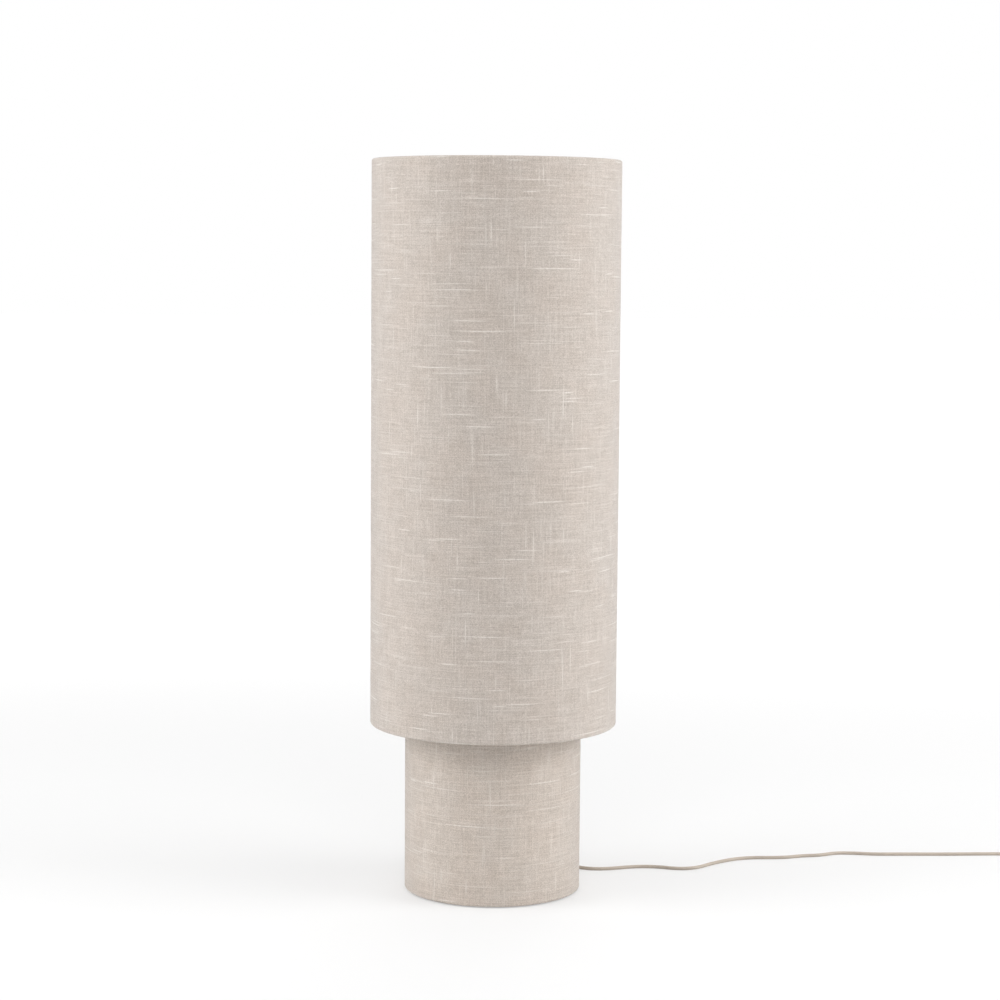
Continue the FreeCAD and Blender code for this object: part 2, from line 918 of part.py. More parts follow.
def lights():
    inserts = []
    for name, (height, side) in arms.items():
        export("arm_" + name, arm(height, side))
        centre = Vector(side * arm_reach, 0, height + arm_thickness)
        lampholder(name, centre)
        inserts.append(holder_insert(centre))
        bulb(name, centre + UP * (insert_top + contact_height + seat_gap))
    export("holder_inserts", *inserts)


# ---------------------------------------------------------------- leads inside the lamp
def inner_lead(name, height, side):
    """From the terminal block up inside the column, out below the arm and up into the lampholder."""
    block_front = block_middle - block_depth / 2
    outlet = plate_top + block_outlet
    x = side * lead_spread
    reach = side * arm_reach
    across = height - outlet_drop
    route = [
        (x, block_front, outlet),
        (x, block_front - lead_straight, outlet),
        (x, pole_radius + 2 * lead_bend, inlet_height),
        (x, 0, inlet_height),
        (x, 0, across),
        (reach, 0, across),
        (reach, 0, height + arm_thickness + insert_top - insert_floor),
    ]
    export("lead_" + name, tube(route, lead_radius, lead_bend)[0])


def terminal_block():
    """Returns the screws that hold it."""
    head_seat = plate_top + block_height / 2
    block_top = plate_top + block_height
    body = block(block_width, block_depth, block_height, 0, block_middle, plate_top)
    cuts = []
    screws = []
    for x, y in block_screw_places():
        cuts.append(upright(screw_radius + screw_gap, plate_top, block_top, x, y))
        cuts.append(upright(screw_head_radius + screw_gap, head_seat, block_top, x, y))
        screws.append(screw(x, y, head_seat, block_height / 2 + screw_depth - screw_end_gap))
    export("terminal_block", body.cut(cuts))
    return screws


def cord_clip():
    """A saddle over the cord on the base plate. Returns the screws that hold it."""
    top = exit_height + cord_hole + clip_thickness
    saddle = block(clip_span, clip_width, top - plate_top, 0, clip_place, plate_top)
    cuts = [
        level(cord_hole, clip_place - clip_width, clip_place + clip_width, 0, exit_height),
        block(2 * cord_hole, 2 * clip_width, exit_height - plate_top, 0, clip_place, plate_top),
    ]
    screws = []
    for x, y in clip_screw_places():
        cuts.append(upright(screw_radius + screw_gap, plate_top, top, x, y))
        screws.append(screw(x, y, top, top - plate_top + screw_depth - screw_end_gap))
    export("cord_clip", saddle.cut(cuts))
    return screws


def wiring():
    for name, (height, side) in arms.items():
        inner_lead(name, height, side)
    block_back = block_middle + block_depth / 2
    export("cord_inside", level(cord_radius, block_back, relief_end, 0, exit_height))
    export("base_screws", *terminal_block(), *cord_clip())


def strain_relief():
    """Tapered sleeve with a flange outside the drum wall, and its nut inside."""
    flange_face = drum_radius + relief_seat
    taper_root = flange_face + relief_flange
    neck_start = drum_radius - relief_inside
    flange_radius = relief_neck_radius + relief_flange_width
    root_radius = cord_hole + relief_root_wall
    tip_radius = cord_hole + relief_tip_wall
    neck = level(relief_neck_radius, neck_start, flange_face, 0, exit_height)
    flange = level(flange_radius, flange_face, taper_root, 0, exit_height)
    taper = tapered(root_radius, tip_radius, taper_root, relief_end, 0, exit_height)
    bore = level(cord_hole, neck_start, relief_end, 0, exit_height)
    export("strain_relief", neck.fuse([flange, taper]).cut(bore))

    inner_face = drum_radius - cloth - glue_gap - liner_wall
    gland_nut = nut(gland_nut_wall, relief_neck_radius + thread_gap, 0, gland_nut_height)
    gland_nut.rotate(Vector(0, 0, 0), RIGHT, -90)
    gland_nut.translate(Vector(0, inner_face - gland_nut_height - relief_seat, exit_height))
    export("gland_nut", gland_nut)


# ---------------------------------------------------------------- foot switch
def oblong(inset, bottom, top):
    """The switch's outline, taken in by inset, between two heights."""
    width = switch_width - 2 * inset
    length = switch_length - 2 * inset
    body = block(width, length, top - bottom, switch_x, switch_middle, bottom)
    corners = [edge for edge in body.Edges if edge.BoundBox.ZLength > 0.5 * (top - bottom)]
    return body.makeFillet((width - switch_flat) / 2, corners)


def switch_screw_places():
    places = []
    for way in (-1, 1):
        places.append((switch_x + way * switch_screw_across, switch_middle + way * switch_screw_along))
    return places


def switch_posts(bottom, top):
    return [upright(switch_post_radius, bottom, top, x, y) for x, y in switch_screw_places()]


def switch_shells():
    """Base and cover, which meet halfway up the cord, and the screws that come from below."""
    ports = level(cord_radius + sleeve_neck_wall + cord_gap, switch_end, switch_start, switch_x, switch_axis)
    seat = screw_head + screw_gap
    screw_top = seat + switch_screw_length
    holes = []
    screws = []
    for x, y in switch_screw_places():
        holes.append(upright(screw_head_radius + screw_gap, 0, seat, x, y))
        holes.append(upright(screw_radius + screw_gap, 0, screw_top + screw_end_gap, x, y))
        screws.append(screw(x, y, seat, switch_screw_length, -UP))
    export("switch_screws", *screws)

    base_shell = oblong(0, 0, switch_base_height)
    base_shell = base_shell.cut(oblong(switch_wall, switch_wall, switch_base_height))
    base_shell = base_shell.fuse(switch_posts(switch_wall, switch_base_height))
    export("switch_base", base_shell.cut(holes + [ports]))

    cover = oblong(0, switch_base_height, switch_top)
    rim = [edge for edge in cover.Edges if edge.BoundBox.ZMin > switch_top - switch_edge]
    cover = cover.makeFillet(switch_edge, rim)
    cover = cover.cut(oblong(switch_wall, switch_base_height, switch_roof))
    cover = cover.fuse(switch_posts(switch_base_height, switch_roof))
    button_hole = upright(button_radius + button_gap, switch_roof, switch_top, switch_x, switch_middle)
    export("switch_cover", cover.cut(holes + [ports, button_hole]))


def switch_contacts():
    """The contact block on the switch's floor, with a terminal at each end. Returns its top."""
    top = switch_wall + contact_block_height
    body = block(
        contact_block_width, contact_block_length, contact_block_height, switch_x, switch_middle, switch_wall
    )
    solids = [body]
    reach = contact_block_length / 2 - terminal_inset
    for y in (switch_middle - reach, switch_middle + reach):
        solids.append(upright(terminal_radius, top, top + terminal_height, switch_x, y))
    export("switch_contacts", *solids)
    return top


def foot_button(contact_top):
    """Push button, held under the cover's roof by its flange, with a plunger over the contacts."""
    flange_bottom = switch_roof - button_flange_height
    plunger_bottom = contact_top + button_travel + seat_gap
    top = switch_top + button_rise
    outline = [
        (0, plunger_bottom),
        (plunger_radius, plunger_bottom),
        (plunger_radius, flange_bottom),
        (button_radius + button_flange, flange_bottom),
        (button_radius + button_flange, switch_roof),
        (button_radius, switch_roof),
        (button_radius, top - button_edge),
        (button_radius - button_edge, top),
        (0, top),
    ]
    export("foot_button", turned(outline, Vector(switch_x, switch_middle, 0)))


def switch_sleeve(wall_face, tip):
    """Tapered outside, with a neck through the wall and a collar that holds it from inside."""
    way = 1 if tip > wall_face else -1
    root_radius = cord_hole + sleeve_root_wall
    neck_end = wall_face - way * (switch_wall + sleeve_seat)
    collar_end = neck_end - way * sleeve_collar
    taper = tapered(root_radius, cord_hole + sleeve_tip_wall, wall_face, tip, switch_x, switch_axis)
    neck = level(cord_radius + sleeve_neck_wall, neck_end, wall_face, switch_x, switch_axis)
    inner_collar = level(root_radius, collar_end, neck_end, switch_x, switch_axis)
    bore = level(cord_hole, collar_end, tip, switch_x, switch_axis)
    return taper.fuse([neck, inner_collar]).cut(bore)


def foot_switch():
    switch_shells()
    foot_button(switch_contacts())
    sleeves = [switch_sleeve(switch_start, near_end), switch_sleeve(switch_end, far_start)]
    export("switch_sleeves", *sleeves)


# ---------------------------------------------------------------- plug
def plug_body():
    shoulder = plug_face - plug_front
    outline = [
        (-plug_rear_width / 2, plug_rear),
        (plug_rear_width / 2, plug_rear),
        (plug_width / 2, shoulder),
        (plug_width / 2, plug_face),
        (-plug_width / 2, plug_face),
        (-plug_width / 2, shoulder),
    ]
    corners = [Vector(plug_x + x, y, 0) for x, y in outline]
    body = Part.Face(Part.makePolygon(corners + corners[:1])).extrude(UP * plug_thickness)
    body = body.makeFillet(plug_edge, body.Edges)
    holes = [level(cord_hole, plug_rear, plug_rear + plug_cord_depth, plug_x, plug_axis)]
    for x in pin_places():
        holes.append(level(pin_shank_radius + pin_gap, plug_face - pin_depth, plug_face, x, plug_axis))
    export("plug_body", body.cut(holes))


def pin_places():
    return [plug_x - pin_spacing / 2, plug_x + pin_spacing / 2]


def plug_pins():
    """Round pins with domed tips and thinner shanks in the body."""
    pins = []
    dome = plug_face + pin_length - pin_radius
    for x in pin_places():
        rod = level(pin_radius, plug_face, dome, x, plug_axis)
        shank = level(pin_shank_radius, plug_face - pin_depth, plug_face, x, plug_axis)
        pins.append(rod.fuse([shank, Part.makeSphere(pin_radius, Vector(x, dome, plug_axis))]))
    export("plug_pins", *pins)


def plug_boot():
    root_radius = cord_hole + plug_boot_root_wall
    tip_radius = cord_hole + plug_boot_tip_wall
    taper = tapered(root_radius, tip_radius, plug_rear, plug_y, plug_x, plug_axis)
    export("plug_boot", taper.cut(level(cord_hole, plug_y, plug_rear, plug_x, plug_axis)))


def cord_ends():
    """The cord's ends inside the switch's sleeves and inside the plug."""
    reach = contact_block_length / 2
    export(
        "cord_ends",
        level(cord_radius, switch_middle + reach, near_end, switch_x, switch_axis),
        level(cord_radius, far_start, switch_middle - reach, switch_x, switch_axis),
        level(cord_radius, plug_y, plug_rear + plug_cord_depth, plug_x, plug_axis),
    )


# ---------------------------------------------------------------- the whole lamp
os.makedirs("parts", exist_ok=True)

shade()
drum()
base()
column()
threaded_nipples()
finial()
arm_hardware()
lights()
wiring()
strain_relief()

length_to_switch = free_cord("cord_near", near_route)
foot_switch()
cord_ends()
length_to_plug = free_cord("cord_middle", middle_route) + cord_coil() + free_cord("cord_tail", tail_route)
plug_body()
plug_pins()
plug_boot()

print("cord from lamp to switch", round(length_to_switch))
print("cord from switch to plug", round(length_to_plug))
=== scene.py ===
import json
import math

import bpy
from mathutils import Matrix, Vector, noise


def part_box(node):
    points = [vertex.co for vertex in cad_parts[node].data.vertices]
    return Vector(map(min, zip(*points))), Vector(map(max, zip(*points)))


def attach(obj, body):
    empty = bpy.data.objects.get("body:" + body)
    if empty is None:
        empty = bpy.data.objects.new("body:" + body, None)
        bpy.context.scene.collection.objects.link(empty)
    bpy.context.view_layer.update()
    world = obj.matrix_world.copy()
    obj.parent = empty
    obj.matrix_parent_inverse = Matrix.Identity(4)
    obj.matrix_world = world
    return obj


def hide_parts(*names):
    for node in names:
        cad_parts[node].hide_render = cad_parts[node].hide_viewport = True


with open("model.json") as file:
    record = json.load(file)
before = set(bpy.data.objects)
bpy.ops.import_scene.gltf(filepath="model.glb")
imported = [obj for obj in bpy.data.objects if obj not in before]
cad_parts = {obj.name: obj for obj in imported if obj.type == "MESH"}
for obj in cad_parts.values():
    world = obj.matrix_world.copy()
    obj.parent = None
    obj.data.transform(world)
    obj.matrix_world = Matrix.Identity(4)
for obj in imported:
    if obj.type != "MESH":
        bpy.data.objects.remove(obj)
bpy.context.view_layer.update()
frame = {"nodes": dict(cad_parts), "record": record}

# Column floor lamp: two linen cylinders on one column. Metres, +Z up, the origin on the floor
# on the column's axis, the cord towards +X.

MM = 0.001

# ---------------------------------------------------------------- sizes from the frame
shade_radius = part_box("shade_cover")[1].x
drum_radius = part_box("drum_cover")[1].x
hem_radius = 3.2 * MM            # outside radius of the cloth where it rolls round a wire ring
cloth = 0.8 * MM                 # its thickness
spoke_angles = [90, 210, 330]    # degrees round the column, of the spiders that carry the covers

cord_diameter = 4.8 * MM
lay = cord_diameter / 2          # height of the cord's centre where it lies on the floor


# ---------------------------------------------------------------- objects
def add_object(name, data):
    thing = bpy.data.objects.new(name, data)
    bpy.context.scene.collection.objects.link(thing)
    return thing


def add_sheet(name, points, faces, material, thickness, offset, even):
    """A smooth sheet that a modifier gives its thickness."""
    mesh = bpy.data.meshes.new(name)
    mesh.from_pydata(points, [], faces)
    mesh.polygons.foreach_set("use_smooth", [True] * len(faces))
    mesh.materials.append(material)
    sheet = add_object(name, mesh)
    modifier = sheet.modifiers.new("thickness", "SOLIDIFY")
    modifier.thickness = thickness
    modifier.offset = offset
    modifier.use_even_offset = even
    return sheet


# ---------------------------------------------------------------- camera
# Fitted to the outlines of both cylinders. Its turns are in degrees.
focal_pixels = 2547.0
frame_pixels = 1000
sensor_width = 36.0
camera_place = Vector((0, -3.4652, 0.8782))
camera_pitch = 5.5963
camera_yaw = 0.1223
camera_roll = 0.4274


def make_camera():
    data = bpy.data.cameras.new("camera")
    data.sensor_width = sensor_width
    data.lens = focal_pixels / frame_pixels * sensor_width
    data.clip_start = 0.1
    data.clip_end = 100
    camera = add_object("camera", data)
    turn = Matrix.Rotation(math.radians(-camera_yaw), 4, "Z")
    tilt = Matrix.Rotation(math.radians(90 - camera_pitch), 4, "X")
    roll = Matrix.Rotation(math.radians(camera_roll), 4, "Z")
    camera.matrix_world = Matrix.Translation(camera_place) @ turn @ tilt @ roll
    bpy.context.scene.camera = camera


# ---------------------------------------------------------------- material graphs
class Finish:
    """A Principled material, with short calls that add the nodes it is made of."""

    def __init__(self, name, **sockets):
        self.material = bpy.data.materials.new(name)
        self.material.use_nodes = True
        self.tree = self.material.node_tree
        self.shader = self.tree.nodes["Principled BSDF"]
        for socket, value in sockets.items():
            self.feed(self.shader.inputs[socket.replace("_", " ")], value)

    def feed(self, socket, value):
        if isinstance(value, bpy.types.NodeSocket):
            self.tree.links.new(value, socket)
        else:
            socket.default_value = value

    def add(self, kind, inputs=(), **settings):
        node = self.tree.nodes.new("ShaderNode" + kind)
        for setting, value in settings.items():
            setattr(node, setting, value)
        for socket, value in dict(inputs).items():
            self.feed(node.inputs[socket], value)
        return node

    def place(self):
        return self.add("TexCoord").outputs["Object"]

    def math(self, operation, *values):
        node = self.add("Math", operation=operation)
        for socket, value in zip(node.inputs, values):
            self.feed(socket, value)
        return node.outputs[0]

    def noise(self, vector, scale, detail=2.0, roughness=0.5):
        inputs = {"Vector": vector, "Scale": scale, "Detail": detail, "Roughness": roughness}
        return self.add("TexNoise", inputs).outputs["Fac"]

    def spread(self, value, low, high, new_low=0.0, new_high=1.0):
        """Maps low..high to new_low..new_high, clamped and smoothed."""
        inputs = {"Value": value, "From Min": low, "From Max": high, "To Min": new_low, "To Max": new_high}
        return self.add("MapRange", inputs, interpolation_type="SMOOTHSTEP").outputs["Result"]

    def mix(self, share, first, second, blend="MIX"):
        node = self.add("Mix", data_type="RGBA", blend_type=blend)
        self.feed(node.inputs["Factor"], share)
        self.feed(node.inputs[6], first)
        self.feed(node.inputs[7], second)
        return node.outputs[2]

    def mix_value(self, share, first, second):
        node = self.add("Mix", data_type="FLOAT")
        self.feed(node.inputs["Factor"], share)
        self.feed(node.inputs[2], first)
        self.feed(node.inputs[3], second)
        return node.outputs[0]

    def total(self, *terms):
        """The sum of (value, weight) terms."""
        value, weight = terms[0]
        result = self.math("MULTIPLY", value, weight)
        for value, weight in terms[1:]:
            result = self.math("MULTIPLY_ADD", value, weight, result)
        return result

    def thread_profile(self, count):
        """The round section of thread number floor(count), 0 at its edges and 1 at its middle."""
        return self.math("SINE", self.math("MULTIPLY", self.math("FRACT", count), math.pi))

    def vector(self, x, y, z):
        return self.add("CombineXYZ", {"X": x, "Y": y, "Z": z}).outputs[0]

    def colour(self, value):
        self.feed(self.shader.inputs["Base Color"], value)

    def roughness(self, value):
        self.feed(self.shader.inputs["Roughness"], value)

    def bump(self, height, distance, strength=1.0):
        node = self.add("Bump", {"Height": height, "Distance": distance, "Strength": strength})
        self.feed(self.shader.inputs["Normal"], node.outputs[0])


def srgb(red, green, blue):
    """A colour given as screen values from 0 to 255, made linear."""

    def linear(value):
        share = value / 255
        return share / 12.92 if share <= 0.04045 else ((share + 0.055) / 1.055) ** 2.4

    return (linear(red), linear(green), linear(blue), 1.0)


def shaded(colour, factor):
    """The colour made darker or lighter by a factor, at most white."""
    return tuple(min(1.0, factor * value) for value in colour[:3]) + (1.0,)


# ---------------------------------------------------------------- linen
linen_dark = srgb(172, 160, 150)
linen_light = srgb(235, 226, 219)
slub_colour = srgb(246, 242, 236)
warm_patch = srgb(255, 253.5, 252)
cool_patch = srgb(254, 254, 253.5)
shade_tint = (0.97, 0.97, 0.965, 1.0)
# Painted light: the drum's copy of the same linen is made lighter than the shade's.
drum_painted_light = (1.03, 1.02, 1.0, 1.0)
darkest_tone = 0.94              # the summed tone that gives linen_dark
lightest_tone = 2.19             # and the one that gives linen_light
painted_gap_shade = 0.80                  # painted shade: colour factor in the gaps between threads
painted_shade_crown = 0.55                 # the height of a thread's section up to which it is in the gap's painted shade
linen_relief = 0.16 * MM

thread_pitch = 0.72 * MM
thread_changes = 48.0            # changes of tone in a metre of thread
thread_step = 0.83               # from one thread to the next, in the noise that tones them
streak_width = 1.5 * MM
streak_changes = 15.0            # a metre

slub_weight = 0.82
warp_weight = 0.85               # of the slubs along the warp
faint_weight = 0.42              # of the faint slubs
slub_wander = 5 * MM             # how far a slub drifts across the threads
wander_changes = 9.0             # a metre
bead_changes = 300.0             # a metre
longest_half = 0.48              # half a slub's length, as a share of its cell
length_bias = 1.4                # over 1, short slubs are more common than long ones
weight_bias = 2.5                # over 1, faint slubs are more common than bold ones
faintest = 0.25
taper_start = 0.15               # from a slub's middle to its end
thinnest_bead = 0.5
lane_shift = 19.0                # in cells, so that cells of neighbouring lanes don't line up


def threads(finish, across, along, seed):
    """One set of parallel threads: index, rounded profile and tone of the thread at a point."""
    count = finish.math("DIVIDE", across, thread_pitch)
    index = finish.math("FLOOR", count)
    profile = finish.thread_profile(count)
    lane = finish.math("MULTIPLY", index, thread_step)
    spot = finish.vector(finish.math("MULTIPLY", along, thread_changes), lane, seed)
    return index, profile, finish.noise(spot, scale=1.0, detail=3.0, roughness=0.6)


def streaks(finish, across, along, seed):
    """Long narrow runs in which a few neighbouring threads are all a little paler or darker."""
    lane = finish.math("DIVIDE", across, streak_width)
    spot = finish.vector(finish.math("MULTIPLY", along, streak_changes), lane, seed)
    return finish.noise(spot, scale=1.0, detail=2.0, roughness=0.6)


def slubs(finish, across, along, pitch, cell, share, least, seed):
    """Thick pale stretches of single threads, as a mask: at most one in each cell of each lane, with
    a random place, length and weight, and tapered ends. The half length lies between the shares
    least and longest_half of a cell."""
    # The lane that a point is in, and its place along it, counted in cells.
    drift = finish.vector(finish.math("MULTIPLY", along, wander_changes), 0.0, seed)
    wander = finish.noise(drift, scale=1.0, detail=1.0)
    count = finish.math("DIVIDE", finish.math("MULTIPLY_ADD", wander, slub_wander, across), pitch)
    lane = finish.math("FLOOR", count)
    start = finish.add("TexWhiteNoise", {"W": finish.math("ADD", lane, seed)}, noise_dimensions="1D")
    cells_along = finish.math("DIVIDE", along, cell)
    place = finish.math("MULTIPLY_ADD", start.outputs["Value"], lane_shift, cells_along)
    # What is drawn for the cell: whether it has a slub, how long that is, and where.
    cell_key = finish.vector(lane, finish.math("FLOOR", place), seed)
    chance = finish.add("TexWhiteNoise", {"Vector": cell_key}, noise_dimensions="3D").outputs
    draws = finish.add("SeparateColor", {"Color": chance["Color"]}).outputs
    present = finish.math("LESS_THAN", chance["Value"], share)
    length = finish.math("POWER", draws["Red"], length_bias)
    half = finish.math("MULTIPLY_ADD", length, longest_half - least, least)
    room = finish.math("MULTIPLY_ADD", half, -2.0, 1.0)
    middle = finish.math("MULTIPLY_ADD", draws["Green"], room, half)
    # How much of the slub is at the point.
    away = finish.math("ABSOLUTE", finish.math("SUBTRACT", finish.math("FRACT", place), middle))
    taper = finish.spread(finish.math("DIVIDE", away, half), taper_start, 1.0, 1.0, 0.0)
    bead_spot = finish.vector(finish.math("MULTIPLY", along, bead_changes), lane, seed)
    bead = finish.noise(bead_spot, scale=1.0, detail=2.0, roughness=0.8)
    boldness = finish.math("POWER", draws["Blue"], weight_bias)
    weight = finish.math("MULTIPLY_ADD", boldness, 1 - faintest, faintest)
    profile = finish.thread_profile(count)
    mask = finish.math("MULTIPLY", finish.math("MULTIPLY", present, taper), weight)
    mask = finish.math("MULTIPLY", mask, finish.spread(bead, 0.35, 0.6, thinnest_bead, 1.0))
    return finish.math("MULTIPLY", mask, profile)


def linen(name, radius, tint_and_painted_light):
    """Plain weave laid round a cylinder, with slubs in both directions, faint mottling and painted shade
    in the gaps between threads. The tint multiplies the colour; the drum's tint is painted light. The way
    round is measured from the front, where the lamp faces -Y, so it jumps only at the back."""
    finish = Finish(name, Roughness=0.9, Sheen_Weight=0.5, Sheen_Roughness=0.4, Specular_IOR_Level=0.15)
    place = finish.place()
    split = finish.add("SeparateXYZ", {"Vector": place}).outputs
    front = finish.math("MULTIPLY", split["Y"], -1.0)
    round_way = finish.math("MULTIPLY", finish.math("ARCTAN2", split["X"], front), radius)
    weft = (finish, split["Z"], round_way)
    warp = (finish, round_way, split["Z"])

    warp_index, warp_profile, warp_run = threads(*warp, seed=11.0)
    weft_index, weft_profile, weft_run = threads(*weft, seed=47.0)
    weft_on_top = finish.math("PINGPONG", finish.math("ADD", warp_index, weft_index), 1.0)
    crown = finish.mix_value(weft_on_top, warp_profile, weft_profile)
    run = finish.mix_value(weft_on_top, warp_run, weft_run)
    crossing = finish.vector(warp_index, weft_index, 5.0)
    grain = finish.add("TexWhiteNoise", {"Vector": crossing}, noise_dimensions="3D").outputs["Value"]

    weft_slubs = slubs(*weft, pitch=1.9 * MM, cell=270 * MM, share=0.46, least=0.05, seed=3.0)
    warp_slubs = slubs(*warp, pitch=1.7 * MM, cell=270 * MM, share=0.32, least=0.05, seed=8.0)
    faint_weft = slubs(*weft, pitch=1.5 * MM, cell=150 * MM, share=0.60, least=0.10, seed=14.0)
    faint_warp = slubs(*warp, pitch=1.5 * MM, cell=150 * MM, share=0.50, least=0.10, seed=21.0)
    strong = finish.math("MAXIMUM", weft_slubs, finish.math("MULTIPLY", warp_slubs, warp_weight))
    faint = finish.math("MULTIPLY", finish.math("MAXIMUM", faint_weft, faint_warp), faint_weight)
    slub = finish.math("MAXIMUM", strong, faint)

    cloud = finish.noise(place, scale=55.0, detail=3.0, roughness=0.6)
    mottle = finish.noise(place, scale=760.0, detail=3.0, roughness=0.75)
    warmth = finish.noise(place, scale=17.0, detail=2.0)
    weft_streaks = streaks(*weft, seed=31.0)
    warp_streaks = streaks(*warp, seed=63.0)
    tone = finish.total((grain, 0.40), (run, 0.50), (mottle, 1.0), (cloud, 0.28), (weft_streaks, 0.55),
                        (warp_streaks, 0.40))
    lightness = finish.spread(tone, darkest_tone, lightest_tone)
    gap_shade_paint = finish.spread(crown, 0.0, painted_shade_crown, painted_gap_shade, 1.0)
    patches = finish.mix(finish.spread(warmth, 0.35, 0.65), warm_patch, cool_patch)
    colour = finish.mix(lightness, linen_dark, linen_light)
    # Painted shade: the gaps between threads are darkened in the colour.
    colour = finish.mix(1.0, colour, finish.vector(gap_shade_paint, gap_shade_paint, gap_shade_paint), "MULTIPLY")
    colour = finish.mix(1.0, colour, patches, "MULTIPLY")
    # The tint; the drum's one is painted light.
    colour = finish.mix(1.0, colour, tint_and_painted_light, "MULTIPLY")
    finish.colour(finish.mix(finish.math("MULTIPLY", slub, slub_weight), colour, slub_colour))
    height = finish.total((crown, 1.0), (grain, 0.2), (slub, 0.9))
    finish.bump(height, distance=linen_relief, strength=0.7)
    return finish.material


# ---------------------------------------------------------------- other materials
def smooth_film(name, colour, roughness):
    """The shade's white liner: thin film with slight waves and a satin gloss."""
    finish = Finish(name, Specular_IOR_Level=0.35)
    place = finish.place()
    cloud = finish.noise(place, scale=9.0, detail=3.0)
    dark = shaded(colour, 0.93)
    finish.colour(finish.mix(finish.spread(cloud, 0.3, 0.7), dark, colour))
    satin = finish.noise(place, scale=60.0)
    finish.roughness(finish.spread(satin, 0.3, 0.7, roughness - 0.06, roughness + 0.08))
    finish.bump(finish.noise(place, scale=45.0, detail=3.0), distance=0.25 * MM, strength=0.5)
    return finish.material


def powder_coat(name, colour, grain, roughness):
    """Paint with orange-peel relief, and worn a little darker and smoother in patches."""
    finish = Finish(name, Specular_IOR_Level=0.45)
    place = finish.place()
    peel = finish.noise(place, scale=grain, detail=2.0, roughness=0.6)
    patch = finish.noise(place, scale=22.0, detail=4.0, roughness=0.6)
    worn = shaded(colour, 0.86)
    finish.colour(finish.mix(finish.spread(patch, 0.52, 0.72), colour, worn))
    finish.roughness(finish.spread(patch, 0.3, 0.7, roughness + 0.07, roughness - 0.05))
    finish.bump(peel, distance=0.06 * MM, strength=0.8)
    return finish.material


def metal(name, colour, roughness, stretch):
    """Turned or drawn metal: fine marks stretched by the three factors, and dull spots."""
    finish = Finish(name, Metallic=1.0)
    place = finish.place()
    scaled = finish.add("VectorMath", {0: place, 1: stretch}, operation="MULTIPLY").outputs[0]
    marks = finish.noise(scaled, scale=1.0, detail=3.0, roughness=0.65)
    spots = finish.noise(place, scale=160.0, detail=3.0)
    dull = shaded(colour, 0.88)
    finish.colour(finish.mix(finish.spread(spots, 0.45, 0.75), colour, dull))
    finish.roughness(finish.spread(marks, 0.25, 0.75, roughness - 0.10, roughness + 0.12))
    finish.bump(marks, distance=0.02 * MM, strength=0.6)
    return finish.material


def plastic(name, colour, grain, relief, roughness):
    """Moulded plastic with fine erosion texture and faint flow clouds."""
    finish = Finish(name, Specular_IOR_Level=0.45)
    place = finish.place()
    cloud = finish.noise(place, scale=35.0, detail=3.0, roughness=0.55)
    texture = finish.noise(place, scale=grain, detail=2.0, roughness=0.6)
    dark = shaded(colour, 0.90)
    finish.colour(finish.mix(finish.spread(cloud, 0.35, 0.7), colour, dark))
    finish.roughness(finish.spread(texture, 0.3, 0.7, roughness - 0.05, roughness + 0.09))
    finish.bump(texture, distance=relief, strength=0.8)
    return finish.material


def felt(name, colour):
    """Pressed fibres, dark with lighter ends."""
    finish = Finish(name, Roughness=0.95, Sheen_Weight=0.4, Sheen_Roughness=0.5, Specular_IOR_Level=0.1)
    place = finish.place()
    fibres = finish.noise(place, scale=1500.0, detail=4.0, roughness=0.75)
    light = shaded(colour, 2.2)
    finish.colour(finish.mix(finish.spread(fibres, 0.4, 0.8), colour, light))
    finish.bump(fibres, distance=0.3 * MM)
    return finish.material


def ceramic(name, colour):
    """Glazed ceramic with fine dark speckles."""
    finish = Finish(name, Specular_IOR_Level=0.5, Coat_Weight=0.4, Coat_Roughness=0.12)
    place = finish.place()
    speckle = finish.noise(place, scale=700.0, detail=2.0)
    dark = shaded(colour, 0.8)
    finish.colour(finish.mix(finish.spread(speckle, 0.62, 0.75), colour, dark))
    finish.roughness(finish.spread(finish.noise(place, scale=90.0), 0.3, 0.7, 0.25, 0.4))
    finish.bump(finish.noise(place, scale=120.0), distance=0.05 * MM)
    return finish.material


def frosted(name, colour):
    """Opal glass: soft, slightly translucent, with a fine etched grain."""
    finish = Finish(name, Subsurface_Weight=0.35, Subsurface_Scale=0.004, Specular_IOR_Level=0.4)
    finish.feed(finish.shader.inputs["Subsurface Radius"], (1.0, 1.0, 1.0))
    place = finish.place()
    grain = finish.noise(place, scale=1800.0, detail=2.0)
    cloud = finish.noise(place, scale=40.0, detail=2.0)
    dark = shaded(colour, 0.95)
    finish.colour(finish.mix(cloud, colour, dark))
    finish.roughness(finish.spread(grain, 0.3, 0.7, 0.36, 0.5))
    finish.bump(grain, distance=0.01 * MM)
    return finish.material


